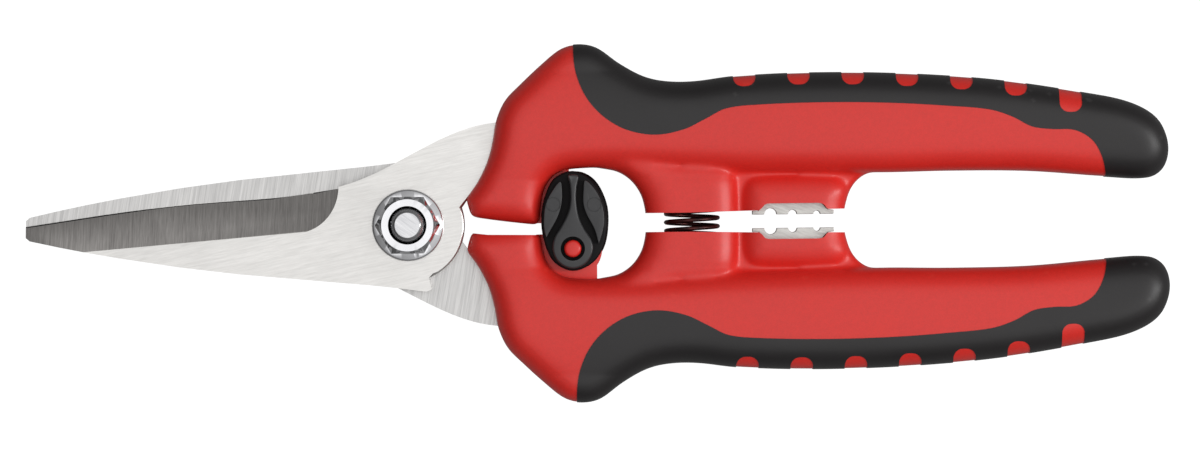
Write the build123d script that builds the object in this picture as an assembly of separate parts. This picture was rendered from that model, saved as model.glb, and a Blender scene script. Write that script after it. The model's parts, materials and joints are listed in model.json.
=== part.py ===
from build123d import *
from math import radians, tan
import os

os.makedirs("parts", exist_ok=True)

# Bypass pruning shears, closed and locked, lying flat.
# Millimetres. +Z up, +X from the pivot towards the handles, the whole outline mirrored about the X axis.
# The origin is where the pivot axis meets the resting plane, the underside of the bolt head.

# heights
handle_thick = 15.0
mid_z = handle_thick / 2
blade_thick = 2.5
blade_gap = 0.1
bevel_slope = 19.5
bevel_heading = 4.6
back_blade_z = mid_z - blade_gap / 2 - blade_thick
front_blade_z = mid_z + blade_gap / 2

# pivot hardware: M6 bolt, spring washer, flanged nut
shank_r = 3.0
running_clearance = 0.05
square_neck = 7.0
bolt_head_r = 7.2
washer_thick = 1.0
washer_r = 6.6
bolt_head_thick = back_blade_z - washer_thick
bolt_head_low_round = 0.8
bolt_head_top_round = 0.4
washer_chamfer = 0.25
nut_across_flats = 10.0
nut_flange_r = 6.35
nut_flange_thick = 1.3
nut_flange_chamfer = 0.5
nut_crown_low_r = 8.2
nut_crown_top_r = 4.7
nut_crown_rise = 1.6
nut_z = front_blade_z + blade_thick + running_clearance
nut_height = 6.0
nut_countersink_r = 3.4
bolt_end_z = nut_z + nut_height + 0.7
bolt_end_r = 2.35

# handles
tube_round = 3.2
front_corner = 1.0
front_round = 1.6
front_inset_z = 0.5
grip_skin = 1.3
inset_steps = 40
arch_left_x = 23.9
nose_length = 14.0
slit_low_y = 1.9
window_width = 4.0
window_pitch = 9.6
window_first_x = 59.8
window_reach = 12.0
window_corner = 1.7
window_inner_y = (23.9, 24.1, 24.0, 23.6, 22.9, 21.7, 18.7)

# lock lever and its pin
pin_x = 29.15
pin_y = -4.45
pin_r = 1.6
pin_head_r = 2.0
tab_thick = 4.0
tab_r = 5.2
lever_gap = 0.25
lever_face_z = 14.2
lever_web_in_r = 5.7
lever_web_out_r = 10.6
catch_in_r = 11.1
catch_depth = 7.0
catch_mid_y = 7.0
lever_rim_round = 0.8
lever_web_half_angle = 27.2
pin_head_round = 0.5
pin_head_clearance = 0.15
pin_head_proud = 0.1
web_left_x = 22.6
web_right_x = 28.6
pin_sink_depth = 0.9

# return spring and its seats
spring_x = 50.3
spring_r = 5.0
spring_wire = 0.75
spring_pitch = 1.5
spring_half_length = 8.6
pocket_r = 5.5
pocket_floor_y = 8.8
seat_r = 3.6
seat_height = 2.2

# crimp jaws
jaw_thick = 5.0
jaw_low_y = 1.2
jaw_notches = ((64.2, 1.1), (68.1, 0.78), (72.4, 0.6))


def slab(face, bottom, top):
    """The face, drawn at z = 0, as a solid from one height to another."""
    return extrude(Pos(0, 0, bottom) * face, amount=top - bottom)


def turned_over(solid):
    """The same piece flipped half a turn about the X direction at mid thickness."""
    return Pos(0, 0, mid_z) * Rot(180, 0, 0) * Pos(0, 0, -mid_z) * solid


def mirrored(solid):
    return mirror(solid, about=Plane.XZ)


def closed(*edges):
    return make_face(Curve() + list(edges))


# ---- blades -------------------------------------------------------------------------------------

def blade_outline():
    spine = Spline((-67.1, -2.1), (-54, -4.8), (-30, -8.35), (-2, -11.1), (3.2, -11.8))
    heel = Polyline((3.2, -11.8), (4.1, -11.4), (3.6, -9.33))
    shoulder = ThreePointArc((3.6, -9.33), (8.9, -4.56), (9.55, 3.0))
    tang_under = Polyline((9.55, 3.0), (13.5, 8.6), (22, 12.6), (62, 12.6), (64, 14.2))
    tang_over = Polyline((64, 14.2), (62, 16.2), (30, 20.6), (22, 19.4), (15.5, 18.0))
    ricasso = Spline((15.5, 18.0), (12, 17.4), (6, 15.2), (-2.2, 11.0), (-12, 7.0))
    edge = Spline((-12, 7.0), (-18, 5.75), (-36, 4.4), (-54, 2.4), (-67.8, 0.45))
    tip = Polyline((-67.8, 0.45), (-67.8, -1.5), (-67.1, -2.1))
    return closed(spine, heel, shoulder, tang_under, tang_over, ricasso, edge, tip)


def blade_bevel():
    """The ground wedge taken off the blade's outer face, from the bevel line up to the cutting edge."""
    under = Line((-56, 0), (2, 0))
    end = ThreePointArc((2, 0), (6.6, 2.7), (8.4, 8.4))
    over = Polyline((8.4, 8.4), (8.4, 12), (-56, 12), (-56, 0))
    wedge = extrude(closed(under, end, over), amount=2 * blade_thick)
    return Pos(-20, -1.1, blade_thick) * Rot(0, 0, bevel_heading) * Rot(-bevel_slope, 0, 0) * wedge


def blade():
    solid = extrude(blade_outline(), amount=blade_thick)
    return solid - blade_bevel()


def front_blade():
    solid = Pos(0, 0, front_blade_z) * blade()
    return solid - Pos(0, 0, mid_z) * Cylinder(shank_r + running_clearance, 4 * blade_thick)


def back_blade():
    solid = turned_over(Pos(0, 0, front_blade_z) * blade())
    return solid - Pos(0, 0, mid_z) * Box(square_neck, square_neck, 4 * blade_thick)


# ---- pivot --------------------------------------------------------------------------------------

def pivot_bolt():
    head = Cylinder(bolt_head_r, bolt_head_thick, align=(Align.CENTER, Align.CENTER, Align.MIN))
    head = fillet(head.edges().group_by(Axis.Z)[0], bolt_head_low_round)
    head = fillet(head.edges().group_by(Axis.Z)[-1], bolt_head_top_round)
    neck_top = back_blade_z + blade_thick
    neck = slab(Rectangle(square_neck, square_neck), back_blade_z, neck_top)
    collar = slab(Circle(square_neck / 2), bolt_head_thick, back_blade_z)
    shank = slab(Circle(shank_r), neck_top, bolt_end_z)
    shank = chamfer(shank.edges().group_by(Axis.Z)[-1], shank_r - bolt_end_r)
    return head + collar + neck + shank


def pivot_washer():
    ring = slab(Circle(washer_r) - Circle(square_neck / 2), bolt_head_thick, back_blade_z)
    return chamfer(ring.edges().filter_by(GeomType.CIRCLE).sort_by(SortBy.RADIUS)[-2:], washer_chamfer)


def pivot_nut():
    flange = slab(Circle(nut_flange_r), nut_z, nut_z + nut_flange_thick)
    flange = chamfer(flange.edges().group_by(Axis.Z)[-1], nut_flange_chamfer)
    hexagon = slab(RegularPolygon(nut_across_flats / 2, 6, major_radius=False), nut_z, nut_z + nut_height)
    crown = Pos(0, 0, nut_z + nut_crown_rise) * Cone(
        nut_crown_low_r, nut_crown_top_r, nut_height, align=(Align.CENTER, Align.CENTER, Align.MIN)
    )
    base = slab(Circle(nut_across_flats), nut_z, nut_z + nut_crown_rise + nut_flange_chamfer)
    hexagon = hexagon & (crown + base)
    sink_depth = nut_countersink_r - shank_r
    sink = Pos(0, 0, nut_z + nut_height - sink_depth) * Cone(
        shank_r, nut_countersink_r, sink_depth, align=(Align.CENTER, Align.CENTER, Align.MIN)
    )
    return flange + hexagon - slab(Circle(shank_r), nut_z, bolt_end_z) - sink


# ---- handles ------------------------------------------------------------------------------------

def tube_outline():
    """The gripped part with the guard at its front end, all one smooth line."""
    return make_face(Spline(
        (23.0, 27.4), (26.5, 30.4), (30.3, 31.8), (34.0, 31.0), (37.5, 28.3), (42.0, 25.9),
        (48.5, 24.9), (58.0, 25.8), (72.0, 26.3), (88.0, 25.95), (104.0, 24.65), (120.0, 22.2),
        (130.0, 19.6), (134.2, 15.4), (134.7, 10.6), (131.4, 7.3), (122.0, 7.7), (108.0, 8.5),
        (83.0, 8.6), (60.0, 8.8), (40.0, 10.4), (26.0, 11.0), (17.5, 13.6), (17.6, 20.6),
        periodic=True
    ))


def front_outline():
    """The nose, the arch over the lever, and the block behind it."""
    back_edge = Spline((11.0, 3.2), (13.6, 9.6), (15.3, 16.5), (18.1, 23.0), (21.0, 25.5))
    hidden = Polyline((21.0, 25.5), (27.0, 24.0), (36.0, 14.0), (83.0, 10.5))
    heel = ThreePointArc((83.0, 10.5), (79.0, 6.6), (77.4, 2.1))
    block = Line((77.4, 2.1), (42.2, 1.7))
    arch = Spline(
        (42.2, 1.7), (41.5, 4.9), (38.8, 8.4), (34.5, 9.7), (29.5, 9.7), (25.3, 8.25), (23.65, 4.2),
        (23.3, -0.2)
    )
    nose = Polyline((23.3, -0.2), (12.0, 1.3), (11.0, 3.2))
    face = closed(back_edge, hidden, heel, block, arch, nose)
    bare_corners = [corner for corner in face.vertices() if corner.Y < 11]
    return fillet(bare_corners, front_corner)


def rounded_slab(face, bottom, top, radius):
    solid = slab(face, bottom, top)
    rims = solid.edges().group_by(Axis.Z)[0] + solid.edges().group_by(Axis.Z)[-1]
    return fillet(rims, radius)


def inset_outline(face, inset):
    """A smooth outline that runs at a steady distance inside the face's own edge."""
    rim = face.edges()[0]
    points = []
    for step in range(inset_steps):
        along = rim.tangent_at(step / inset_steps)
        points.append(rim.position_at(step / inset_steps) + inset * Vector(-along.Y, along.X))
    return make_face(Spline(*points, periodic=True))


def tube(inset=0):
    """The rounded tube, or the same form shrunk by inset on all sides."""
    face = tube_outline()
    if inset:
        face = inset_outline(face, inset)
    return rounded_slab(face, inset, handle_thick - inset, tube_round - inset)


def grip_zone():
    """Everything outside the line where the black skin stops."""
    line = Spline(
        (29.6, 40), (29.6, 29.8), (31.0, 23.8), (35.0, 18.7), (44.0, 15.5), (50.5, 17.0),
        (56.5, 20.1), (66.0, 20.8), (86.0, 20.65), (103.0, 19.35), (109.5, 16.5), (117.0, 15.7),
        (121.8, 12.9), (123.4, 7.8), (123.6, 2)
    )
    rest = Polyline((123.6, 2), (145, 2), (145, 40), (29.6, 40))
    return slab(closed(line, rest), -1, handle_thick + 1)


def grip_windows():
    """Slots that run over the outer edge, through which the moulding below shows."""
    cuts = []
    for number, inner_y in enumerate(window_inner_y):
        x = window_first_x + number * window_pitch
        slot = Pos(x, inner_y + window_reach / 2) * Rectangle(window_width, window_reach)
        slot = fillet(slot.vertices().group_by(Axis.Y)[0], window_corner)
        cuts.append(slab(slot, -1, handle_thick + 1))
    return cuts


def grip():
    skin = (tube() & grip_zone()) - tube(grip_skin)
    for cut in grip_windows():
        skin -= cut
    return skin


def jaw():
    outline = Polyline(
        (61.0, jaw_low_y), (75.4, jaw_low_y), (75.4, 1.9), (74.3, 2.05), (73.2, 3.2), (73.2, 7.2),
        (63.2, 7.2), (63.2, 3.2), (62.1, 1.9), (61.0, 1.9), close=True
    )
    face = make_face(outline)
    for x, radius in jaw_notches:
        face -= Pos(x, jaw_low_y) * Circle(radius)
    return slab(face, mid_z - jaw_thick / 2, mid_z + jaw_thick / 2)


def jaw_recess():
    """The notch through the block that leaves the jaw's working edge bare."""
    notch = make_face(Polyline(
        (61.9, 0), (61.9, 1.95), (63.4, 3.15), (73.0, 3.15), (74.5, 2.0), (74.5, 0), close=True
    ))
    return slab(notch, -1, handle_thick + 1)


def spring_pocket():
    """The round pocket that opens at the block's face, with a stub on its floor that centres the coil."""
    facing_out = Pos(spring_x, 0, mid_z) * Rot(-90, 0, 0)
    from_face = (Align.CENTER, Align.CENTER, Align.MIN)
    bore = facing_out * Cylinder(pocket_r, pocket_floor_y, align=from_face)
    at_floor = facing_out * Pos(0, 0, pocket_floor_y - seat_height)
    return bore - at_floor * Cylinder(seat_r, seat_height, align=from_face)


def mid_slab(face):
    """A web at mid thickness, between the lever's cheeks."""
    return slab(face, mid_z - tab_thick / 2, mid_z + tab_thick / 2)


def catch_web():
    """The web in the arch that closes the gap over the lever's own web."""
    mid_x = (web_left_x + web_right_x) / 2
    face = Pos(mid_x, catch_mid_y) * Rectangle(web_right_x - web_left_x, catch_depth)
    return mid_slab(face - Pos(pin_x, pin_y) * Circle(catch_in_r))


def lever_tab():
    """The land and tab that stand between the lever's cheeks and hold its pin."""
    land = make_face(Polyline(
        (22.6, -1.9), (25.5, -1.9), (33.4, -6.3), (33.4, -11), (22.6, -11), close=True
    ))
    tab = mid_slab(land + Pos(pin_x, pin_y) * Circle(tab_r))
    return tab - Pos(pin_x, pin_y, mid_z) * Cylinder(pin_r, handle_thick)


def nose_relief():
    """The lower nose stops short of the upper one, which leaves a slit between them."""
    reach = 2 * slit_low_y
    return Pos(arch_left_x - nose_length / 2, 0, mid_z) * Box(nose_length, reach, 2 * handle_thick)


def handle_core():
    """The red moulding of one handle, drawn in the upper handle's place."""
    front = rounded_slab(front_outline(), front_inset_z, handle_thick - front_inset_z, front_round)
    core = tube() + front - grip()
    return core - jaw_recess() - jaw() - spring_pocket()


# ---- lock lever and spring ----------------------------------------------------------------------

def lever_outline():
    return make_face(Spline(
        (29.2, 9.3), (32.35, 7.9), (34.65, 4.0), (35.2, 0.0), (34.65, -4.0), (32.7, -6.95),
        (29.2, -8.4), (25.95, -6.95), (24.35, -4.0), (23.6, 0.0), (24.05, 4.0), (25.85, 7.9),
        periodic=True
    ))


def lock_lever():
    """Two cheeks that straddle the tab, joined by a web that swings under the catch web."""
    whole = slab(lever_outline(), handle_thick - lever_face_z, lever_face_z)
    rims = whole.edges().group_by(Axis.Z)[0] + whole.edges().group_by(Axis.Z)[-1]
    whole = fillet(rims, lever_rim_round)
    slot_half = tab_thick / 2 + lever_gap
    reach = 2 * lever_web_out_r
    slot = slab(Pos(pin_x, pin_y) * Circle(reach), mid_z - slot_half, mid_z + slot_half)
    ring = Pos(pin_x, pin_y) * (Circle(lever_web_out_r) - Circle(lever_web_in_r))
    half_width = reach * tan(radians(lever_web_half_angle))
    sector = make_face(Polyline((0, 0), (-half_width, reach), (half_width, reach), close=True))
    web = slab(ring & (Pos(pin_x, pin_y) * sector), mid_z - slot_half, mid_z + slot_half)
    bore = Pos(pin_x, pin_y, mid_z) * Cylinder(pin_r + running_clearance, 2 * handle_thick)
    sinks = [
        Pos(pin_x, pin_y, z) * Cylinder(pin_head_r + pin_head_clearance, 2 * pin_sink_depth)
        for z in (lever_face_z, handle_thick - lever_face_z)
    ]
    return whole - slot + web - bore - sinks


def lock_pin():
    """A plain pin with a low domed head sunk in each cheek."""
    half = lever_face_z - mid_z
    shank = Pos(pin_x, pin_y, mid_z) * Cylinder(pin_r, 2 * half)
    head = Cylinder(pin_head_r, pin_sink_depth - pin_head_proud)
    head_z = half - pin_sink_depth / 2 + pin_head_proud
    heads = [Pos(pin_x, pin_y, mid_z + side * head_z) * head for side in (-1, 1)]
    pin = shank + heads
    rims = pin.edges().group_by(Axis.Z)[0] + pin.edges().group_by(Axis.Z)[-1]
    return fillet(rims, pin_head_round)


def return_spring():
    path = Helix(
        spring_pitch, 2 * spring_half_length - spring_wire, spring_r - spring_wire / 2,
        center=(spring_x, -spring_half_length + spring_wire / 2, mid_z), direction=(0, 1, 0)
    )
    section = Plane(origin=path @ 0, z_dir=path % 0) * Circle(spring_wire / 2)
    return sweep(section, path=path, is_frenet=True)


# ---- all pieces ---------------------------------------------------------------------------------

top_blade = front_blade()
bottom_blade = back_blade()
core = handle_core()
skin = grip()
plate = jaw()

pieces = {
    "front_blade": top_blade,
    "back_blade": bottom_blade,
    "pivot_bolt": pivot_bolt(),
    "pivot_washer": pivot_washer(),
    "pivot_nut": pivot_nut(),
    "upper_handle": core + catch_web() - top_blade,
    "lower_handle": mirrored(core) - nose_relief() + lever_tab() - bottom_blade,
    "upper_grip": skin,
    "lower_grip": mirrored(skin),
    "upper_crimp_jaw": plate,
    "lower_crimp_jaw": mirrored(plate),
    "lock_lever": lock_lever(),
    "lock_pin": lock_pin(),
    "return_spring": return_spring(),
}

for name, piece in pieces.items():
    export_step(piece, f"parts/{name}.step")
    print(name, len(piece.solids()), round(piece.volume, 1), piece.is_valid)
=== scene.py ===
import json
import math
import bpy
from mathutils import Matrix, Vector

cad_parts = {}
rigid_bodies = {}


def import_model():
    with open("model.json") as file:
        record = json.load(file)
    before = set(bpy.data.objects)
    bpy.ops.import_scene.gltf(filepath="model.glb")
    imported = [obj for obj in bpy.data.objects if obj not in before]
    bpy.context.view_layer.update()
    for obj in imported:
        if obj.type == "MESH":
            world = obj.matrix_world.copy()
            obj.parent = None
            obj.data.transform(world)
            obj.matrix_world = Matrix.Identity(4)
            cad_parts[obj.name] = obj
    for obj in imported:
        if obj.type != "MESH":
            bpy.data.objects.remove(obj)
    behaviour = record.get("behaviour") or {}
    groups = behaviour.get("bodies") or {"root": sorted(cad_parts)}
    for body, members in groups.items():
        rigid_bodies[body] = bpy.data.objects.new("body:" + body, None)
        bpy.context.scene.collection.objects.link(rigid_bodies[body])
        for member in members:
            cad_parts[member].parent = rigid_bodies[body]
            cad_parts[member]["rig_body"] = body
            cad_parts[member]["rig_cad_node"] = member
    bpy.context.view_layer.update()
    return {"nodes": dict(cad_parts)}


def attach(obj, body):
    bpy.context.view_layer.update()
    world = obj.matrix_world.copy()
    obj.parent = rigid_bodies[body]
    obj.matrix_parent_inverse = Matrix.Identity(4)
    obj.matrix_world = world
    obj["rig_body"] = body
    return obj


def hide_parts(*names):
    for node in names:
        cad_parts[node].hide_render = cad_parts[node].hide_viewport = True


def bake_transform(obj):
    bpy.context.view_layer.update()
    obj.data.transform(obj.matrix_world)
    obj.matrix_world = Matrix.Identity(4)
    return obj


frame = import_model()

nodes = frame["nodes"]
mm = 0.001
midZ = 7.5                                  # middle of the handles' thickness, in millimetres

# Everything below is modelled in millimetres and brought to metres by finishPiece.


def deselectAll():
    if bpy.context.mode != "OBJECT":
        bpy.ops.object.mode_set(mode="OBJECT")
    bpy.ops.object.select_all(action="DESELECT")


def pick(piece):
    deselectAll()
    piece.select_set(True)
    bpy.context.view_layer.objects.active = piece


# into edit mode on piece, with the faces or edges that a test picks selected
def edit(piece, faces=None, edges=None, all=False):
    pick(piece)
    mesh = piece.data
    bpy.ops.object.mode_set(mode="EDIT")
    bpy.ops.mesh.select_mode(type="FACE" if faces else "EDGE" if edges else "VERT")
    bpy.ops.mesh.select_all(action="SELECT" if all else "DESELECT")
    if all:
        return
    bpy.ops.object.mode_set(mode="OBJECT")
    if faces:
        for polygon in mesh.polygons:
            polygon.select = faces(polygon)
    if edges:
        for edge in mesh.edges:
            edge.select = edges(mesh.vertices[edge.vertices[0]].co, mesh.vertices[edge.vertices[1]].co)
    bpy.ops.object.mode_set(mode="EDIT")


def done():
    bpy.ops.object.mode_set(mode="OBJECT")


def useModifier(piece, kind, **settings):
    pick(piece)
    modifier = piece.modifiers.new(kind.title(), kind)
    for name, value in settings.items():
        setattr(modifier, name, value)
    bpy.ops.object.modifier_apply(modifier=modifier.name)
    return piece


def cut(piece, cutter, operation="DIFFERENCE", keep=False):
    useModifier(piece, "BOOLEAN", object=cutter, operation=operation, solver="EXACT")
    if not keep:
        bpy.data.objects.remove(cutter)
    return piece


def join(first, *others):
    pick(first)
    for other in others:
        other.select_set(True)
    bpy.ops.object.join()
    return first


def copyOf(piece, name):
    copy = piece.copy()
    copy.data = piece.data.copy()
    copy.name = name
    copy.data.name = name
    bpy.context.scene.collection.objects.link(copy)
    return copy


def outward(piece):
    edit(piece, all=True)
    bpy.ops.mesh.normals_make_consistent(inside=False)
    done()
    return piece


# a curve through the points; a point with a third value starts a new straight-sided stretch there
def smoothLine(points, steps=6, loop=False):
    count = len(points)
    line = []
    for i in range(count if loop else count - 1):
        p1 = Vector(points[i][:2])
        p2 = Vector(points[(i + 1) % count][:2])
        sharp1 = len(points[i]) > 2
        sharp2 = len(points[(i + 1) % count]) > 2
        p0 = p1 if sharp1 else Vector(points[i - 1][:2]) if loop or i > 0 else p1
        p3 = p2 if sharp2 else Vector(points[(i + 2) % count][:2]) if loop or i + 2 < count else p2
        length = (p2 - p1).length
        m1 = (p2 - p1) if sharp1 else (p2 - p0) * length / max((p1 - p0).length + length, 1e-6)
        m2 = (p2 - p1) if sharp2 else (p3 - p1) * length / max((p3 - p2).length + length, 1e-6)
        for k in range(steps):
            t = k / steps
            h00, h10 = 2 * t**3 - 3 * t**2 + 1, t**3 - 2 * t**2 + t
            h01, h11 = -2 * t**3 + 3 * t**2, t**3 - t**2
            line.append(h00 * p1 + h10 * m1 + h01 * p2 + h11 * m2)
    if not loop:
        line.append(Vector(points[-1][:2]))
    return line


# a flat face at height z with the line as its rim
def sheetFrom(name, line, z):
    deselectAll()
    bpy.ops.mesh.primitive_circle_add(vertices=len(line), radius=1, fill_type="NGON", location=(0, 0, 0))
    piece = bpy.context.object
    piece.name = name
    area = sum(a.x * b.y - b.x * a.y for a, b in zip(line, line[1:] + line[:1]))
    for vertex, point in zip(piece.data.vertices, line if area > 0 else line[::-1]):
        vertex.co = (point[0], point[1], z)
    return piece


# the same rim, extruded to a closed slab
def slabFrom(name, line, bottom, top):
    piece = sheetFrom(name, line, bottom)
    edit(piece, all=True)
    bpy.ops.mesh.extrude_region_move(TRANSFORM_OT_translate={"value": (0, 0, top - bottom)})
    bpy.ops.mesh.select_all(action="SELECT")
    bpy.ops.mesh.normals_make_consistent(inside=False)
    done()
    return piece


# the line moved inwards by a distance, with its direction eased over the neighbouring points
def insideOf(line, distance):
    count = len(line)
    moved = []
    for i, point in enumerate(line):
        along = Vector((0, 0))
        for reach in (1, 2, 3):
            along += (line[(i + reach) % count] - line[i - reach]).normalized()
        along.normalize()
        moved.append(point + distance * Vector((-along.y, along.x)))
    return moved


# how far a point stands from a closed line
def distanceTo(line, point):
    best = 1e9
    for a, b in zip(line, line[1:] + line[:1]):
        along = b - a
        t = max(0.0, min(1.0, (point - a).dot(along) / max(along.length_squared, 1e-9)))
        best = min(best, (a + t * along - point).length)
    return best


# a slab whose rim climbs to its crown in a quarter round of the given width
def pillowFrom(name, line, sideHalf, rise, width, rings):
    area = sum(a.x * b.y - b.x * a.y for a, b in zip(line, line[1:] + line[:1]))
    line = line if area > 0 else line[::-1]
    piece = sheetFrom(name, line, midZ)
    edit(piece, all=True)
    bpy.ops.mesh.extrude_region_move(TRANSFORM_OT_translate={"value": (0, 0, sideHalf)})
    ring = line
    for number in range(1, rings + 1):
        bpy.ops.mesh.extrude_region_move()
        done()
        target = insideOf(line, width * (1 - math.cos(math.pi / 2 * number / rings)))
        spot = {(round(p.x, 3), round(p.y, 3)): i for i, p in enumerate(ring)}
        for vertex in piece.data.vertices:
            if vertex.select:
                point = target[spot[round(vertex.co.x, 3), round(vertex.co.y, 3)]]
                short = 1 - min(1.0, distanceTo(line, point) / width)
                vertex.co = (point.x, point.y, midZ + sideHalf + rise * math.sqrt(1 - short * short))
        ring = target
        bpy.ops.object.mode_set(mode="EDIT")
    done()
    edit(piece, faces=lambda f: abs(f.center.z - midZ) < 1e-4 and abs(f.normal.z) > 0.9)
    bpy.ops.mesh.delete(type="FACE")
    done()
    bpy.context.scene.cursor.location = (0, 0, midZ)
    bpy.ops.object.origin_set(type="ORIGIN_CURSOR")
    useModifier(piece, "MIRROR", use_axis=(False, False, True), use_clip=True, merge_threshold=0.001)
    bpy.ops.object.transform_apply(location=True, rotation=True, scale=True)
    bpy.context.scene.cursor.location = (0, 0, 0)
    return outward(piece)


# a closed cylinder from start to end
def rod(name, radius, start, end, sides=48):
    start, end = Vector(start), Vector(end)
    deselectAll()
    bpy.ops.mesh.primitive_cylinder_add(vertices=sides, radius=radius, depth=(end - start).length)
    piece = bpy.context.object
    piece.name = name
    piece.rotation_euler = (end - start).to_track_quat("Z", "Y").to_euler()
    piece.location = (start + end) / 2
    pick(piece)
    bpy.ops.object.transform_apply(location=True, rotation=True, scale=True)
    return piece


# a closed round piece spun from a profile of (radius, height) points about an upright axis
def turned(name, profile, centre, sides=72):
    deselectAll()
    bpy.ops.mesh.primitive_circle_add(
        vertices=len(profile), radius=1, fill_type="NOTHING", location=(0, 0, 0)
    )
    piece = bpy.context.object
    piece.name = name
    for vertex, (radius, height) in zip(piece.data.vertices, profile):
        vertex.co = (centre[0] + radius, centre[1], height)
    edit(piece, all=True)
    bpy.ops.mesh.spin(steps=sides, angle=2 * math.pi, center=(centre[0], centre[1], 0), axis=(0, 0, 1))
    bpy.ops.mesh.select_all(action="SELECT")
    bpy.ops.mesh.remove_doubles(threshold=0.0005)
    bpy.ops.mesh.dissolve_degenerate(threshold=0.0001)
    bpy.ops.mesh.select_all(action="SELECT")
    bpy.ops.mesh.normals_make_consistent(inside=False)
    done()
    return piece


# brings a piece to metres, names it, shades it and hangs it on its body
def finishPiece(piece, name, body, material, stands=(), angle=35, flats=False):
    pick(piece)
    piece.scale = (mm, mm, mm)
    bpy.ops.object.transform_apply(location=True, rotation=True, scale=True)
    bpy.ops.object.shade_smooth_by_angle(angle=math.radians(angle), keep_sharp_edges=False)
    if flats:                               # wide faces stay flat right up to their bevels
        useModifier(piece, "WEIGHTED_NORMAL", keep_sharp=True, weight=80)
    piece.name = name
    piece.data.name = name
    if material:
        piece.data.materials.clear()
        for one in material if isinstance(material, (list, tuple)) else [material]:
            piece.data.materials.append(one)
    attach(piece, body)
    if stands:
        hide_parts(*stands)
    return piece


def newGroup(name, inputs, outputs):
    group = bpy.data.node_groups.new(name, "ShaderNodeTree")
    for label, kind, value in inputs:
        socket = group.interface.new_socket(name=label, in_out="INPUT", socket_type=kind)
        socket.default_value = value
    for label, kind in outputs:
        group.interface.new_socket(name=label, in_out="OUTPUT", socket_type=kind)
    return group, group.nodes.new("NodeGroupInput"), group.nodes.new("NodeGroupOutput")


def maths(tree, operation, first, second=0.0, third=None):
    node = tree.nodes.new("ShaderNodeMath")
    node.operation = operation
    for socket, value in zip(node.inputs, (first, second, third)):
        if value is None:
            continue
        if isinstance(value, (int, float)):
            socket.default_value = value
        else:
            tree.links.new(value, socket)
    return node.outputs[0]


def noiseOn(tree, vector, scale, detail=2.0, roughness=0.5):
    node = tree.nodes.new("ShaderNodeTexNoise")
    tree.links.new(vector, node.inputs["Vector"])
    if isinstance(scale, (int, float)):
        node.inputs["Scale"].default_value = scale
    else:
        tree.links.new(scale, node.inputs["Scale"])
    node.inputs["Detail"].default_value = detail
    node.inputs["Roughness"].default_value = roughness
    return node.outputs["Fac"]


def objectPlace(tree):
    return tree.nodes.new("ShaderNodeTexCoord").outputs["Object"]


# spark-eroded grain of a moulding: a fine height, and a broad mask of slightly glossier patches
def mouldGrainGroup():
    group, given, put = newGroup(
        "mouldGrain",
        [("Grain Size", "NodeSocketFloat", 0.0003), ("Patch Size", "NodeSocketFloat", 0.01)],
        [("Height", "NodeSocketFloat"), ("Patches", "NodeSocketFloat")],
    )
    place = objectPlace(group)
    fineScale = maths(group, "DIVIDE", 1.0, given.outputs["Grain Size"])
    broadScale = maths(group, "DIVIDE", 1.0, given.outputs["Patch Size"])
    fine = noiseOn(group, place, fineScale, 3.0, 0.65)
    coarse = noiseOn(group, place, maths(group, "MULTIPLY", fineScale, 0.37), 2.0)
    height = maths(group, "ADD", maths(group, "MULTIPLY", fine, 0.65), maths(group, "MULTIPLY", coarse, 0.35))
    group.links.new(height, put.inputs["Height"])
    group.links.new(noiseOn(group, place, broadScale, 3.0), put.inputs["Patches"])
    return group


# straight grinding lines: long, thin streaks that run along a chosen heading in the flat of the piece
def grindLinesGroup():
    group, given, put = newGroup(
        "grindLines",
        [
            ("Heading", "NodeSocketFloat", 0.0),
            ("Line Pitch", "NodeSocketFloat", 0.0003),
            ("Line Length", "NodeSocketFloat", 0.02),
        ],
        [("Lines", "NodeSocketFloat"), ("Clouds", "NodeSocketFloat")],
    )
    place = objectPlace(group)
    turn = group.nodes.new("ShaderNodeVectorRotate")
    turn.rotation_type = "Z_AXIS"
    group.links.new(place, turn.inputs["Vector"])
    group.links.new(given.outputs["Heading"], turn.inputs["Angle"])
    parts = group.nodes.new("ShaderNodeSeparateXYZ")
    group.links.new(turn.outputs[0], parts.inputs[0])
    packed = group.nodes.new("ShaderNodeCombineXYZ")
    for axis, size in (("X", "Line Length"), ("Y", "Line Pitch")):
        group.links.new(maths(group, "DIVIDE", parts.outputs[axis], given.outputs[size]), packed.inputs[axis])
    group.links.new(maths(group, "MULTIPLY", parts.outputs["Z"], 900.0), packed.inputs["Z"])
    first = noiseOn(group, packed.outputs[0], 1.0, 3.0, 0.7)
    second = noiseOn(group, packed.outputs[0], 0.31, 2.0, 0.6)
    lines = maths(group, "ADD", maths(group, "MULTIPLY", first, 0.6), maths(group, "MULTIPLY", second, 0.4))
    group.links.new(lines, put.inputs["Lines"])
    group.links.new(noiseOn(group, place, 90.0, 3.0), put.inputs["Clouds"])
    return group


# where corners stick out, broken up by a fine noise: 1 on rubbed edges, which also carry a painted edge
# highlight, 0 elsewhere
def edgeWearAndHighlightGroup():
    group, given, put = newGroup(
        "edgeWearAndHighlight",
        [("Sharpness", "NodeSocketFloat", 12.0), ("Start", "NodeSocketFloat", 0.53)],
        [("WornAndLit", "NodeSocketFloat")],
    )
    shape = group.nodes.new("ShaderNodeNewGeometry").outputs["Pointiness"]
    noise = maths(group, "SUBTRACT", noiseOn(group, objectPlace(group), 900.0, 3.0), 0.5)
    broken = maths(group, "MULTIPLY", noise, 0.05)
    above = maths(group, "SUBTRACT", maths(group, "ADD", shape, broken), given.outputs["Start"])
    scaled = group.nodes.new("ShaderNodeMath")
    scaled.operation = "MULTIPLY"
    scaled.use_clamp = True
    group.links.new(above, scaled.inputs[0])
    group.links.new(given.outputs["Sharpness"], scaled.inputs[1])
    group.links.new(scaled.outputs[0], put.inputs["WornAndLit"])
    return group


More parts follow.
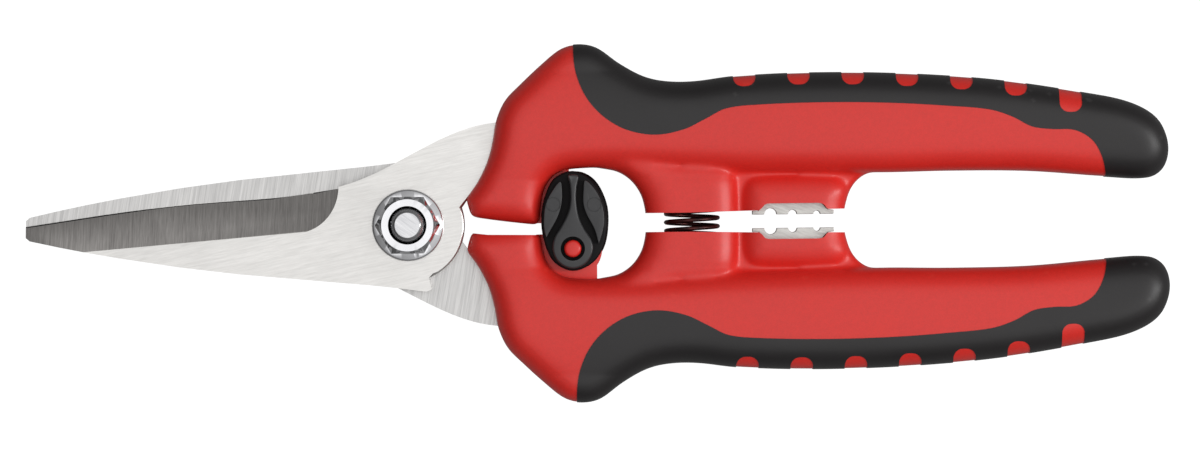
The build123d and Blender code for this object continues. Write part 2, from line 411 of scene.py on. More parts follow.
mouldGrain = mouldGrainGroup()
grindLines = grindLinesGroup()
edgeWearAndHighlight = edgeWearAndHighlightGroup()


def newMaterial(name):
    material = bpy.data.materials.new(name)
    material.use_nodes = True
    tree = material.node_tree
    return material, tree, tree.nodes["Principled BSDF"]


def place(tree, group, **values):
    node = tree.nodes.new("ShaderNodeGroup")
    node.node_tree = group
    for label, value in values.items():
        node.inputs[label.replace("_", " ")].default_value = value
    return node


# a colour ramp; stops are (position, colour)
def ramp(tree, factor, stops):
    node = tree.nodes.new("ShaderNodeValToRGB")
    tree.links.new(factor, node.inputs["Fac"])
    elements = node.color_ramp.elements
    while len(elements) < len(stops):
        elements.new(0.5)
    for element, (position, colour) in zip(elements, stops):
        element.position = position
        element.color = (*colour, 1) if len(colour) == 3 else colour
    return node.outputs["Color"]


def blendColours(tree, factor, first, second, mode="MIX"):
    node = tree.nodes.new("ShaderNodeMix")
    node.data_type = "RGBA"
    node.blend_type = mode
    for socket, value in ((node.inputs["Factor"], factor), (node.inputs[6], first), (node.inputs[7], second)):
        if isinstance(value, (int, float)):
            socket.default_value = value
        elif isinstance(value, tuple):
            socket.default_value = (*value, 1)
        else:
            tree.links.new(value, socket)
    return node.outputs[2]


def bump(tree, shader, height, strength, distance):
    node = tree.nodes.new("ShaderNodeBump")
    node.inputs["Strength"].default_value = strength
    node.inputs["Distance"].default_value = distance
    tree.links.new(height, node.inputs["Height"])
    tree.links.new(node.outputs["Normal"], shader.inputs["Normal"])


def mouldedPlastic(
    name, colour, shadeColour, wornAndLitColour, roughness, grainSize, grainDepth, wearAndHighlight=0.5, gloss=0.5
):
    material, tree, shader = newMaterial(name)
    shader.inputs["Specular IOR Level"].default_value = gloss
    grain = place(tree, mouldGrain, Grain_Size=grainSize, Patch_Size=0.012)
    wornAndHighlight = place(tree, edgeWearAndHighlight, Sharpness=9.0, Start=0.56)
    base = blendColours(tree, grain.outputs["Patches"], shadeColour, colour)
    speckle = ramp(tree, grain.outputs["Height"], [(0.35, (0.93, 0.93, 0.93)), (0.62, (1.04, 1.03, 1.03))])
    base = blendColours(tree, 1.0, base, speckle, "MULTIPLY")
    # the rubbed-edge colour is lighter than the base: real wear, and also a painted highlight where light
    # catches convex edges
    base = blendColours(tree, maths(tree, "MULTIPLY", wornAndHighlight.outputs["WornAndLit"], wearAndHighlight), base, wornAndLitColour)
    tree.links.new(base, shader.inputs["Base Color"])
    low, high = roughness
    rough = ramp(tree, grain.outputs["Patches"], [(0.3, (low,) * 3), (0.7, (high,) * 3)])
    tree.links.new(rough, shader.inputs["Roughness"])
    bump(tree, shader, grain.outputs["Height"], 1.0, grainDepth)
    return material


def groundSteel(name, light, dark, roughness, heading, pitch, length, depth):
    material, tree, shader = newMaterial(name)
    shader.inputs["Metallic"].default_value = 1.0
    lines = place(tree, grindLines, Heading=math.radians(heading), Line_Pitch=pitch, Line_Length=length)
    base = ramp(tree, lines.outputs["Lines"], [(0.3, dark), (0.7, light)])
    soft = ramp(tree, lines.outputs["Clouds"], [(0.3, (0.86, 0.86, 0.86)), (0.7, (1, 1, 1))])
    base = blendColours(tree, 0.5, base, soft, "MULTIPLY")
    tree.links.new(base, shader.inputs["Base Color"])
    low, high = roughness
    rough = ramp(tree, lines.outputs["Lines"], [(0.3, (high,) * 3), (0.7, (low,) * 3)])
    tree.links.new(rough, shader.inputs["Roughness"])
    bump(tree, shader, lines.outputs["Lines"], 1.0, depth)
    return material


print("materials")
redNylon = mouldedPlastic(
    "redNylon", (0.76, 0.027, 0.018), (0.69, 0.020, 0.015), (0.80, 0.09, 0.06), (0.34, 0.42),
    0.00028, 0.000012, wearAndHighlight=0.15
)
blackGrip = mouldedPlastic(
    "blackGrip", (0.016, 0.014, 0.0145), (0.012, 0.0105, 0.011), (0.045, 0.042, 0.042), (0.40, 0.48),
    0.00030, 0.000018, gloss=0.45
)
greyNylon = mouldedPlastic(
    "greyNylon", (0.040, 0.040, 0.042), (0.032, 0.032, 0.034), (0.12, 0.12, 0.12), (0.34, 0.44),
    0.00025, 0.000010, 0.8, gloss=0.45
)
# painted shade: the floor between the lever's lobes is made near-black to stand for the shade in its grooves
leverGroovePaintedShade = mouldedPlastic(
    "leverGroovePaintedShade", (0.006, 0.005, 0.006), (0.004, 0.004, 0.004), (0.02, 0.02, 0.02), (0.5, 0.6),
    0.0003, 0.00001, 0.4, gloss=0.15
)
bladeFlat = groundSteel(
    "bladeFlat", (0.80, 0.785, 0.765), (0.64, 0.628, 0.61), (0.30, 0.40), -12, 0.00011, 0.0025, 0.0000012
)
backBladeFlat = groundSteel(
    "backBladeFlat", (0.70, 0.69, 0.68), (0.44, 0.435, 0.43), (0.30, 0.42), -80, 0.00016, 0.007, 0.0000015
)
# painted shade: the ground bevel is the same steel as the flats, given a darker base for the light its tilt
# turns away
bladeBevelPaintedShade = groundSteel(
    "bladeBevelPaintedShade", (0.37, 0.355, 0.342), (0.175, 0.166, 0.160), (0.34, 0.46), -88, 0.00010, 0.012, 0.0000015
)
# painted shade: a near-black line along the cutting edge's land, standing for the shadow at the edge
edgeLinePaintedShade = groundSteel(
    "edgeLinePaintedShade", (0.10, 0.10, 0.10), (0.05, 0.05, 0.05), (0.3, 0.4), 0, 0.0002, 0.004, 0.000001
)
jawSteel = groundSteel(
    "jawSteel", (0.66, 0.65, 0.62), (0.48, 0.47, 0.45), (0.34, 0.5), 20, 0.0003, 0.002, 0.000004
)
boltSteel = groundSteel(
    "boltSteel", (0.78, 0.78, 0.79), (0.52, 0.52, 0.54), (0.16, 0.3), 35, 0.0003, 0.004, 0.000003
)


def chromePlate():
    material, tree, shader = newMaterial("chromePlate")
    shader.inputs["Metallic"].default_value = 1.0
    lines = place(tree, grindLines, Heading=0.6, Line_Pitch=0.0006, Line_Length=0.004)
    base = ramp(tree, lines.outputs["Clouds"], [(0.3, (0.72, 0.72, 0.74)), (0.7, (0.86, 0.86, 0.88))])
    tree.links.new(base, shader.inputs["Base Color"])
    rough = ramp(tree, lines.outputs["Lines"], [(0.3, (0.13,) * 3), (0.7, (0.07,) * 3)])
    tree.links.new(rough, shader.inputs["Roughness"])
    bump(tree, shader, lines.outputs["Lines"], 1.0, 0.000002)
    return material


def springWire():
    material, tree, shader = newMaterial("springWire")
    shader.inputs["Metallic"].default_value = 0.75
    grain = place(tree, mouldGrain, Grain_Size=0.0005, Patch_Size=0.0025)
    base = ramp(
        tree, grain.outputs["Patches"],
        [(0.35, (0.022, 0.010, 0.010)), (0.6, (0.085, 0.022, 0.020)), (0.8, (0.20, 0.05, 0.04))]
    )
    tree.links.new(base, shader.inputs["Base Color"])
    rough = ramp(tree, grain.outputs["Height"], [(0.3, (0.28,) * 3), (0.7, (0.42,) * 3)])
    tree.links.new(rough, shader.inputs["Roughness"])
    bump(tree, shader, grain.outputs["Height"], 1.0, 0.00001)
    return material


chrome = chromePlate()
wire = springWire()


spring = {
    "x": 50.3,
    "coilRadius": 4.60,
    "wire": 0.375,
    "halfLength": 8.58,
    "turns": 11,
    "pocketSlack": 0.07,
    "pocketDepth": 8.7,
}

handleForm = {
    "crownHalf": 7.38,
    "roundWidth": 4.2,
    "sideHalf": 3.1,
    "voxel": 0.42,
    "smoothing": 20,
    "crownLine": 17.3,                      # the middle of the tube
    "crownReach": 9.5,
    "crownFall": 0.13,
    "boss": (2.8, 3.9, 4.6, 6),             # half height of the side, rise, width of the round, rings
    "web": (1.7, 1.5, 1.6, 4),
    "pad": (1.9, 3.8, 4.8, 8),
    "skinProud": 0.12,
}

# the tube, the guard and the nose, once round
mainRim = [
    (11.2, 1.5, 1), (10.3, 4.6, 1), (12.5, 7.7), (14.3, 11.5), (15.2, 15.0), (15.8, 18.4),
    (17.4, 21.9), (20.0, 24.6), (24.0, 28.3), (27.4, 30.95), (30.3, 31.66), (33.6, 31.05),
    (37.6, 28.2), (42.0, 25.8), (46.0, 24.9), (51.0, 24.85), (58.0, 25.7), (72.0, 26.2), (88.0, 25.85),
    (104.0, 24.6), (120.0, 22.1), (128.0, 20.3), (132.8, 17.4), (134.7, 12.8), (133.9, 8.9),
    (131.3, 7.1), (124.0, 7.3), (110.0, 8.4), (96.0, 8.6), (84.0, 8.45), (60.0, 8.9), (46.0, 9.6),
    (38.0, 9.9), (30.0, 9.75), (27.0, 9.2), (25.0, 7.6), (24.0, 5.3), (23.5, 2.4), (23.35, 0.8),
    (22.9, -0.1), (21.8, -0.05), (16.0, 0.65), (12.0, 1.25, 1),
]
bossRim = [
    (58.4, -4.0, 1), (58.4, 2.0), (58.2, 7.2), (57.2, 9.6), (54.0, 10.9), (48.0, 11.3), (42.0, 12.2),
    (37.0, 14.6), (34.0, 15.0, 1), (34.0, 9.75, 1), (37.2, 9.1), (39.7, 7.4), (41.4, 4.8),
    (42.1, 1.9, 1), (42.1, -4.0, 1),
]
webRim = [
    (56.0, -4.0, 1), (77.3, -4.0, 1), (77.3, 2.0), (77.8, 4.0), (79.0, 6.4), (81.0, 8.1), (84.0, 8.9, 1),
    (86.0, 14.0, 1), (56.0, 14.0, 1),
]
padRim = [
    (58.8, -4.0, 1), (77.3, -4.0, 1), (77.35, 2.0), (77.9, 4.2), (78.0, 6.0), (76.8, 7.7), (74.4, 8.4),
    (63.0, 8.4), (60.2, 7.7), (59.0, 5.6), (58.8, 2.0),
]
# the line where the black skin stops, from the outer edge of the guard to the inner edge of the end
skinLine = [
    (29.7, 40.0, 1), (29.6, 30.0), (30.2, 26.0), (32.0, 22.0), (35.0, 18.7), (39.0, 16.4),
    (44.0, 15.5), (49.0, 16.4), (53.0, 18.3), (56.5, 20.0), (62.0, 20.6), (74.0, 20.9), (86.0, 20.65),
    (96.0, 20.0), (103.0, 19.3), (107.0, 18.0), (110.5, 16.2), (114.0, 15.7), (118.0, 15.5),
    (121.0, 13.8), (122.7, 11.0), (123.5, 7.5), (123.7, 2.0, 1),
]
windows = {
    "first": 59.8,
    "pitch": 9.6,
    "width": 4.0,
    "corner": 1.65,
    "inner": (23.9, 24.1, 24.0, 23.6, 22.9, 21.7, 18.7),
}


# both handles start from this one form: tube, guard, nose, spring boss and jaw block melted together
def roundedForm():
    rise = handleForm["crownHalf"] - handleForm["sideHalf"]
    body = pillowFrom(
        "form", smoothLine(mainRim, 6, loop=True), handleForm["sideHalf"], rise, handleForm["roundWidth"], 6
    )
    boss = pillowFrom("boss", smoothLine(bossRim, 4, loop=True), *handleForm["boss"])
    web = pillowFrom("web", smoothLine(webRim, 4, loop=True), *handleForm["web"])
    pad = pillowFrom("pad", smoothLine(padRim, 4, loop=True), *handleForm["pad"])
    form = join(body, boss, web, pad)
    useModifier(form, "REMESH", mode="VOXEL", voxel_size=handleForm["voxel"], adaptivity=0.0)
    useModifier(form, "SMOOTH", factor=0.5, iterations=handleForm["smoothing"])
    for vertex in form.data.vertices:       # a slow crown along the middle of the tube
        away = abs(vertex.co.y - handleForm["crownLine"]) / handleForm["crownReach"]
        vertex.co.z = midZ + (vertex.co.z - midZ) * (1 - handleForm["crownFall"] * min(away, 1.0) ** 2)
    return form


# a prism over everything the black skin covers, with a finger cut out at each window
def skinCutter(name):
    rim = smoothLine(skinLine, 6)
    rim += [Vector((146, 2)), Vector((146, 40))]
    half = windows["width"] / 2
    corner = windows["corner"]
    for number in range(len(windows["inner"]) - 1, -1, -1):
        x = windows["first"] + number * windows["pitch"]
        low = windows["inner"][number]
        rim.append(Vector((x + half, 40)))
        for k in range(7):
            turn = math.pi / 2 * k / 6
            along, across = corner * (1 - math.cos(turn)), corner * (1 - math.sin(turn))
            rim.append(Vector((x + half - along, low + across)))
        for k in range(7):
            turn = math.pi / 2 * (6 - k) / 6
            along, across = corner * (1 - math.cos(turn)), corner * (1 - math.sin(turn))
            rim.append(Vector((x - half + along, low + across)))
        rim.append(Vector((x - half, 40)))
    return slabFrom(name, rim, -2, 17)


# everything below the parting face of the boss and the block
def faceCutter():
    line = ((30, -9), (95, -9), (95, 2.45), (77.3, 2.1), (62, 1.95), (50, 1.7), (30, 1.66))
    return slabFrom("faceCutter", [Vector(p) for p in line], -2, 17)


def jawNotchCutter():
    line = smoothLine(
        [(62.0, -3.0, 1), (62.0, 1.9, 1), (62.5, 2.2), (63.3, 3.0), (64.2, 3.15, 1), (72.6, 3.15, 1),
         (73.5, 2.95),
         (74.2, 2.2), (74.6, 2.0, 1), (74.6, -3.0, 1)], 4, loop=True
    )
    return slabFrom("jawNotch", line, -2, 17)


def handles():
    form = roundedForm()
    print("form", len(form.data.polygons))
    cut(form, faceCutter())
    cut(form, jawNotchCutter())
    pocket = spring["coilRadius"] + spring["wire"] + spring["pocketSlack"]
    cut(form, rod("pocket", pocket, (spring["x"], -2, midZ), (spring["x"], spring["pocketDepth"], midZ)))
    zone = skinCutter("zone")
    red = copyOf(form, "red")
    cut(red, zone, keep=True)
    black = form
    useModifier(black, "DISPLACE", strength=handleForm["skinProud"], mid_level=0.0)
    cut(black, zone, "INTERSECT")
    return red, black


def mirroredInY(piece, name):
    other = copyOf(piece, name)
    pick(other)
    other.scale = (1, -1, 1)
    bpy.ops.object.transform_apply(location=True, rotation=True, scale=True)
    return outward(other)


def arcPoints(centre, radius, fromAngle, toAngle, count=24):
    angles = [math.radians(fromAngle + (toAngle - fromAngle) * k / count) for k in range(count + 1)]
    return [Vector((centre[0] + radius * math.cos(a), centre[1] + radius * math.sin(a))) for a in angles]


lever = {
    "pin": (29.15, -4.45),
    "pinRadius": 1.53,
    "boreRadius": 1.6,
    "sinkRadius": 2.15,
    "cheekInner": 9.75,
    "floor": 12.3,
    "face": 14.2,
    "backTurn": -4.0,
}
leverRim = [
    (29.2, 9.3), (32.35, 7.9), (34.65, 4.0), (35.2, 0.0), (34.65, -4.0), (32.7, -6.95),
    (29.2, -8.4), (25.95, -6.95), (24.35, -4.0), (23.6, 0.0), (24.05, 4.0), (25.85, 7.9),
]
leftLobe = [
    (27.05, 7.4), (25.3, 5.2), (24.4, 3.1), (24.1, 0.7), (24.2, -1.3), (24.5, -2.4, 1), (25.0, -1.5),
    (26.4, 0.95), (27.15, 3.15), (27.35, 5.6),
]
rightLobe = [
    (31.45, 7.6), (31.15, 5.9), (31.1, 3.5), (31.7, 1.5), (33.0, -1.0), (33.75, -3.7, 1),
    (34.35, -1.8), (34.75, 0.3), (34.45, 3.1), (33.3, 5.8),
]
ribRim = [
    (28.5, 8.5), (28.75, 6.8), (28.8, 4.0), (28.35, 1.9), (27.0, -0.75), (25.95, -2.4), (25.6, -4.5),
    (26.2, -6.3), (27.5, -7.5), (29.15, -7.95), (30.8, -7.5), (32.1, -6.3), (32.75, -4.5),
    (32.45, -2.9), (31.3, -1.1), (30.3, 1.1), (29.85, 4.0), (29.95, 6.4), (30.25, 8.4),
]


def raisedPad(name, rim, bottom, top, width):
    pad = slabFrom(name, smoothLine(rim, 5, loop=True), bottom, top)
    return useModifier(
        pad, "BEVEL", width=width, segments=3, limit_method="ANGLE", angle_limit=math.radians(50),
        use_clamp_overlap=True
    )


# one cheek: an egg-shaped floor with two lobes, and a rib that widens into the ring round the pin
def leverCheek():
    floor = raisedPad("cheek", leverRim, lever["cheekInner"], lever["floor"], 0.45)
    parts = [
        raisedPad("leftLobe", leftLobe, lever["floor"] - 0.3, lever["face"] - 0.1, 0.35),
        raisedPad("rightLobe", rightLobe, lever["floor"] - 0.3, lever["face"] - 0.1, 0.35),
        raisedPad("rib", ribRim, lever["floor"] - 0.3, lever["face"], 0.4),
    ]
    for x, y in ((25.75, 3.4), (33.0, 3.3)):
        mark = turned("mark", [(1.15, 13.9), (1.3, 13.9), (1.3, 14.3), (1.15, 14.3)], (x, y), 48)
        for pad in parts[:2]:
            cut(pad, mark, keep=True)
        bpy.data.objects.remove(mark)
    x, y = lever["pin"]
    cut(parts[2], rod("sink", lever["sinkRadius"], (x, y, 8), (x, y, 16), 64))
    cut(floor, rod("bore", lever["boreRadius"], (x, y, 8), (x, y, 16), 64))
    return floor, parts


def buildLever():
    floor, pads = leverCheek()
    lobes = join(*pads)
    x, y = lever["pin"]
    for piece in (floor, lobes):
        back = copyOf(piece, "back")
        pick(back)
        bpy.ops.transform.mirror(
            orient_type="GLOBAL", constraint_axis=(False, False, True), center_override=(0, 0, midZ)
        )
        bpy.ops.transform.rotate(
            value=math.radians(-lever["backTurn"]), orient_axis="Z", center_override=(x, y, midZ)
        )
        bpy.ops.object.transform_apply(location=True, rotation=True, scale=True)
        outward(back)
        join(piece, back)
    ring = arcPoints(lever["pin"], 10.6, 66, 114, 12) + arcPoints(lever["pin"], 5.7, 114, 66, 12)
    web = slabFrom("web", ring, 5.1, 9.9)
    join(floor, web)
    # the cheek floor between the lobes carries the near-black painted groove shade
    finishPiece(floor, "leverPlates", "lever", leverGroovePaintedShade, ("lock_lever",))
    finishPiece(lobes, "leverLobes", "lever", greyNylon)
    radius, head, edge = lever["pinRadius"], 14.15, 0.55
    domed = [(0.0, head), (0.6, head - 0.03)] + [
        (radius - edge * (1 - math.sin(t)), head - 0.08 - edge * (1 - math.cos(t)))
        for t in (0.15, 0.5, 0.9, 1.3, 1.57)
    ]
    profile = domed + [(radius, 2 * midZ - height) for radius, height in domed[::-1]]
    pin = turned("pin", profile, lever["pin"], 48)
    finishPiece(pin, "lockPin", "lower_half", redNylon, ("lock_pin",))


# a merged copy of a CAD node, in millimetres, that keeps its flat faces whole
def fromDesign(node, name, dissolve=1.0):
    piece = copyOf(nodes[node], name)
    piece.parent = None
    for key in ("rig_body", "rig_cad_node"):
        if key in piece:
            del piece[key]
    pick(piece)
    piece.scale = (1000, 1000, 1000)
    bpy.ops.object.transform_apply(location=True, rotation=True, scale=True)
    edit(piece, all=True)
    bpy.ops.mesh.remove_doubles(threshold=0.002)
    bpy.ops.mesh.dissolve_limited(angle_limit=math.radians(dissolve))
    done()
    piece.data.materials.clear()
    return piece


def bevelled(piece, width, segments=2, angle=28):
    return useModifier(
        piece, "BEVEL", width=width, segments=segments, limit_method="ANGLE", angle_limit=math.radians(angle),
        use_clamp_overlap=True
    )


def paintByTilt(piece, materials, chooser):
    for material in materials:
        piece.data.materials.append(material)
    for polygon in piece.data.polygons:
        polygon.material_index = chooser(polygon)


blade = {"edgeLand": 0.22, "shoulderRound": 0.42, "corner": 0.12}


# edges of the ground face that meet the blade's side wall, which a stone has rubbed flat
def cuttingEdge(piece, side):
    beside = {}
    for polygon in piece.data.polygons:
        for key in polygon.edge_keys:
            beside.setdefault(key, []).append(polygon)
    keys = set()
    for key, pair in beside.items():
        tilts = sorted(abs(polygon.normal.z) for polygon in pair)
        wall = min(pair, key=lambda polygon: abs(polygon.normal.z))
        ground = len(pair) == 2 and 0.925 < tilts[1] < 0.96
        if ground and tilts[0] < 0.2 and wall.normal.y * side > 0.5 and pair[0].center.x < -9:
            keys.add(key)
    return keys


# edges of the outer face along the round shoulder by the handles
def shoulderEdge(piece):
    keys = set()
    for edge in piece.data.edges:
        a, b = (piece.data.vertices[i].co for i in edge.vertices)
        onFace = abs(abs(a.z - midZ) - 2.55) < 0.02 and abs(a.z - b.z) < 0.01
        if onFace and min(a.x, b.x) > 3.4 and max(abs(a.y), abs(b.y)) < 9.5 and 9.2 < a.xy.length < 10.6:
            keys.add(edge.key)
    return keys


def bevelKeys(piece, keys, width, segments, material):
    edit(piece, edges=lambda a, b: False)
    done()
    for edge in piece.data.edges:
        edge.select = edge.key in keys
    bpy.ops.object.mode_set(mode="EDIT")
    bpy.ops.mesh.bevel(offset=width, segments=segments, affect="EDGES", material=material)
    done()


def buildBlades():
    for node, body, flat, side in (
        ("front_blade", "upper_half", bladeFlat, 1), ("back_blade", "lower_half", backBladeFlat, -1)
    ):
        piece = fromDesign(node, node)
        # the ground bevel faces, picked by their tilt, take the darker painted-shade steel
        paintByTilt(
            piece, [flat, bladeBevelPaintedShade, edgeLinePaintedShade],
            lambda p: 1 if 0.925 < abs(p.normal.z) < 0.96 and p.center.x < -8 and p.area > 4 else 0
        )
        # the rubbed land along the cutting edge takes the near-black painted edge shade
        bevelKeys(piece, cuttingEdge(piece, side), blade["edgeLand"], 1, 2)
        bevelKeys(piece, shoulderEdge(piece), blade["shoulderRound"], 3, 0)
        bevelled(piece, blade["corner"], 2, 40)
        names = {"front_blade": "frontBlade", "back_blade": "backBlade"}
        finishPiece(piece, names[node], body, None, (node,), 40, flats=True)


def buildJaws():
    for node, name, body in (
        ("upper_crimp_jaw", "upperCrimpJaw", "upper_half"), ("lower_crimp_jaw", "lowerCrimpJaw", "lower_half")
    ):
        piece = bevelled(fromDesign(node, name), 0.16, 2)
        finishPiece(piece, name, body, jawSteel, (node,), 40, flats=True)


pivot = {
    "nutLow": 10.1,
    "nutHeight": 6.0,
    "acrossFlats": 10.0,
    "flangeRadius": 6.35,
    "flatRadius": 4.6,
    "crownSlope": 42,
    "sinkRadius": 3.4,
    "boltRadius": 3.0,
    "boltEndRadius": 2.35,
    "boltTop": 16.8,
    "headRadius": 7.2,
    "headThick": 3.95,
}


def buildNut():
    low = pivot["nutLow"]
    top = low + pivot["nutHeight"]
    corner = pivot["acrossFlats"] / math.sqrt(3)
    deselectAll()
    bpy.ops.mesh.primitive_cylinder_add(vertices=6, radius=corner, depth=pivot["nutHeight"] - 0.8)
    hexagon = bpy.context.object
    hexagon.rotation_euler = (0, 0, math.radians(30))
    hexagon.location = (0, 0, (low + 0.8 + top) / 2)
    bpy.ops.object.transform_apply(location=True, rotation=True, scale=True)
    flats = pivot["flatRadius"]
    drop = (8.0 - flats) * math.tan(math.radians(pivot["crownSlope"]))
    crown = turned("crown", [(0, top), (flats, top), (8.0, top - drop), (8.0, low), (0, low)], (0, 0), 96)
    cut(hexagon, crown, "INTERSECT")
    edge = pivot["flangeRadius"]
    flange = turned(
        "flange",
        [(0, low), (edge - 0.25, low), (edge, low + 0.25), (edge, low + 0.55), (edge - 0.08, low + 0.8),
         (edge - 0.3, low + 0.98), (5.1, low + 1.15), (4.9, low + 1.3), (4.6, low + 1.9),
         (0, low + 1.9)], (0, 0), 96
    )
    cut(hexagon, flange, "UNION")
    bore, sink = pivot["boltRadius"] + 0.03, pivot["sinkRadius"]
    hole = turned(
        "hole", [(0, low - 1), (bore, low - 1), (bore, top - 1.0), (sink, top - 0.35), (sink, top + 1),
        (0, top + 1)],
        (0, 0), 96
    )
    cut(hexagon, hole)
    bevelled(hexagon, 0.1, 2, 36)
    finishPiece(hexagon, "pivotNut", "lower_half", chrome, ("pivot_nut",), 40, flats=True)


def buildBolt():
    top, radius, end = pivot["boltTop"], pivot["boltRadius"], pivot["boltEndRadius"]
    thread = []
    height = top - 0.75
    while height > 10.2:
        thread += [(radius - 0.02, height), (radius - 0.38, height - 0.36), (radius - 0.38, height - 0.42)]
        height -= 0.8
    head, thick = pivot["headRadius"], pivot["headThick"]
    profile = [(0, top), (end - 0.15, top), (end, top - 0.1), (radius - 0.05, top - 0.7)] + thread + [
        (radius, 7.6), (3.5, 7.45), (3.5, thick), (head - 0.5, thick), (head - 0.1, thick - 0.2),
        (head, thick - 0.6),
        (head, 1.0), (head - 0.25, 0.4), (head - 0.8, 0.08), (head - 1.6, 0.0), (3.6, 0.0), (3.2, 0.25),
        (0, 0.3)
    ]
    bolt = turned("bolt", profile, (0, 0), 96)
    finishPiece(bolt, "pivotBolt", "lower_half", boltSteel, ("pivot_bolt",), 30)
    washer = turned(
        "washer", [(3.55, 3.96), (6.3, 3.96), (6.55, 4.15), (6.6, 4.45), (6.5, 4.8), (6.2, 4.94),
        (3.55, 4.94)],
        (0, 0), 96
    )
    finishPiece(washer, "pivotWasher", "lower_half", boltSteel, ("pivot_washer",), 30)


def buildSpring():
    half = spring["halfLength"] - spring["wire"]
    deselectAll()
    bpy.ops.mesh.primitive_circle_add(
        vertices=14, radius=spring["wire"], fill_type="NGON", location=(spring["coilRadius"], 0, 0)
    )
    coil = bpy.context.object
    bpy.ops.object.transform_apply(location=True, rotation=True, scale=True)
    edit(coil, all=True)
    bpy.ops.mesh.delete(type="ONLY_FACE")
    done()
    useModifier(
        coil, "SCREW", axis="Y", screw_offset=2 * half / spring["turns"], iterations=spring["turns"],
        steps=40,
        render_steps=40, use_smooth_shade=True
    )
    edit(coil, all=True)
    bpy.ops.mesh.remove_doubles(threshold=0.001)
    bpy.ops.mesh.select_all(action="DESELECT")
    bpy.ops.mesh.select_mode(type="EDGE")
    bpy.ops.mesh.select_non_manifold()
    bpy.ops.mesh.edge_face_add()
    done()
    outward(coil)
    pick(coil)
    coil.location = (spring["x"], -half, midZ)
    bpy.ops.object.transform_apply(location=True, rotation=True, scale=True)
    pick(coil)
    coil.scale = (mm, mm, mm)
    bpy.ops.object.transform_apply(location=True, rotation=True, scale=True)
    bpy.ops.object.shade_smooth()
    coil.name = "returnSpring"
    coil.data.materials.append(wire)
    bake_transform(coil)
    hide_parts("return_spring")


def buildHandles():
    upperRed, upperBlack = handles()
    lowerRed = mirroredInY(upperRed, "lowerRed")
    lowerBlack = mirroredInY(upperBlack, "lowerBlack")
    catch = arcPoints(lever["pin"], 11.1, 93, 114.5, 12)
    hook = ((24.62, 5.0), (24.55, 4.4), (24.1, 3.0), (24.1, 0.1), (22.6, 0.1), (22.6, 11.0), (28.6, 11.0))
    catch += [Vector(p) for p in hook]
    join(upperRed, slabFrom("catch", catch, 5.5, 9.5))
    gap = ((8, -1.95), (11, -1.5), (14, -1.85), (24.1, -2.0), (24.1, 3), (8, 3))
    slit = slabFrom("slit", [Vector(p) for p in gap], -2, 17)
    cut(lowerRed, slit)
    land = [Vector((33.4, -11.0))] + arcPoints(lever["pin"], 5.2, -35, 150, 36)
    land += [Vector((22.6, -1.9)), Vector((22.6, -11.0))]
    join(lowerRed, bevelled(slabFrom("land", land, 5.5, 9.5), 0.15, 2, 50))
    finishPiece(upperRed, "upperHandleShell", "upper_half", redNylon, ("upper_handle",))
    finishPiece(upperBlack, "upperGripSkin", "upper_half", blackGrip, ("upper_grip",))
    finishPiece(lowerRed, "lowerHandleShell", "lower_half", redNylon, ("lower_handle",))
    finishPiece(lowerBlack, "lowerGripSkin", "lower_half", blackGrip, ("lower_grip",))


print("handles")
buildHandles()
print("lever")
buildLever()
print("blades, jaws and pivot")
buildBlades()
buildJaws()
buildNut()
buildBolt()
print("spring")
buildSpring()


studio = {
    "floorSize": 3.0,
    "floorSeen": 1.0,                       # the floor as the eye meets it
    "floorBounce": 0.16,                    # what it throws back on the shears
    "skyTop": 1.24,
    "skySide": 0.09,
    "skyLean": 0.55,                        # brighter to the right than to the left
    "stripPower": 2.6,
    "cameraOver": (0.0340, -0.00033),
    "cameraHeight": 1.5,
    "lens": 253.7,
    "roll": -0.65,
}


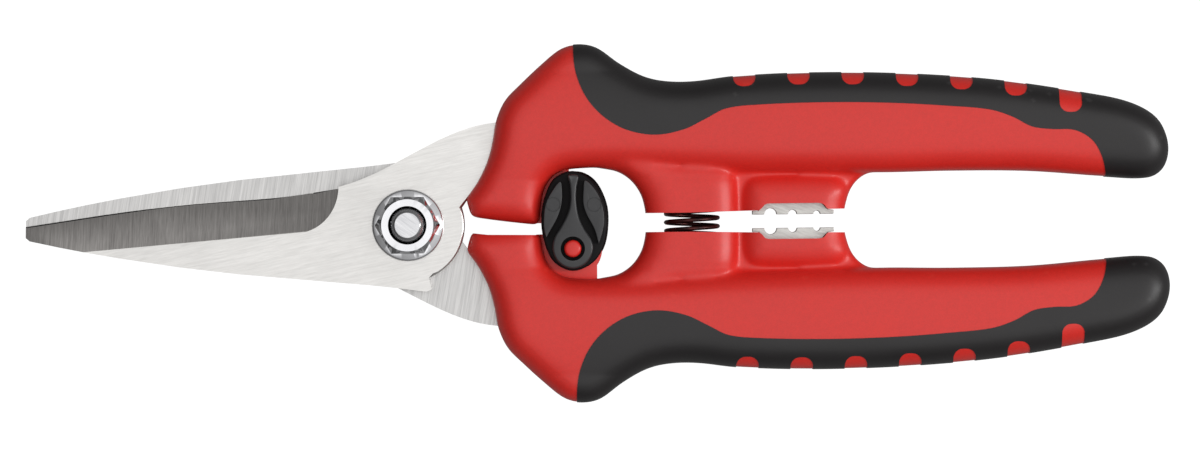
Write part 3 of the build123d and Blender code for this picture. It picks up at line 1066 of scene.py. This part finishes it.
def buildFloor():
    deselectAll()
    bpy.ops.mesh.primitive_plane_add(size=studio["floorSize"], location=(0, 0, -0.0006))
    floor = bpy.context.object
    floor.name = "floor"
    material, tree, shader = newMaterial("paleFloor")
    shader.inputs["Base Color"].default_value = (0.12, 0.12, 0.12, 1)
    shader.inputs["Roughness"].default_value = 0.9
    shader.inputs["Emission Color"].default_value = (1, 1, 1, 1)
    seen = tree.nodes.new("ShaderNodeLightPath").outputs["Is Camera Ray"]
    bounce = studio["floorBounce"]
    glow = maths(tree, "MULTIPLY_ADD", seen, studio["floorSeen"] - bounce, bounce)
    tree.links.new(glow, shader.inputs["Emission Strength"])
    floor.data.materials.append(material)


def buildSky():
    world = bpy.data.worlds.new("softStudio")
    bpy.context.scene.world = world
    world.use_nodes = True
    tree = world.node_tree
    background = tree.nodes["Background"]
    height = tree.nodes.new("ShaderNodeSeparateXYZ")
    tree.links.new(tree.nodes.new("ShaderNodeTexCoord").outputs["Generated"], height.inputs[0])
    side, top = studio["skySide"], studio["skyTop"]
    stops = [(0.0, side), (0.55, 3 * side), (0.80, 0.55 * top), (0.97, top)]
    colour = ramp(tree, height.outputs["Z"], [(position, (value,) * 3) for position, value in stops])
    lean = maths(tree, "MULTIPLY_ADD", height.outputs["X"], studio["skyLean"], 1.0)
    colour = blendColours(tree, 1.0, colour, lean, "MULTIPLY")
    seen = tree.nodes.new("ShaderNodeLightPath").outputs["Is Camera Ray"]
    tree.links.new(blendColours(tree, seen, colour, (1.0, 1.0, 1.0)), background.inputs["Color"])
    background.inputs["Strength"].default_value = 1.0


def softbox(name, place, target, size, power):
    deselectAll()
    bpy.ops.object.light_add(type="AREA", location=place)
    light = bpy.context.object
    light.name = name
    light.data.shape = "RECTANGLE"
    light.data.size, light.data.size_y = size
    light.data.energy = power
    light.rotation_euler = (Vector(target) - Vector(place)).to_track_quat("-Z", "Y").to_euler()


def buildCamera():
    deselectAll()
    x, y = studio["cameraOver"]
    bpy.ops.object.camera_add(location=(x, y, midZ * mm + studio["cameraHeight"]))
    camera = bpy.context.object
    camera.rotation_euler = (0, 0, math.radians(studio["roll"]))
    camera.data.lens = studio["lens"]
    camera.data.sensor_width = 36
    bpy.context.scene.camera = camera


print("stage")
buildFloor()
buildSky()
softbox("rightStrip", (0.66, 0.0, 0.50), (0.05, 0, 0), (0.10, 0.5), studio["stripPower"])
buildCamera()
bpy.context.scene.view_settings.view_transform = "Standard"
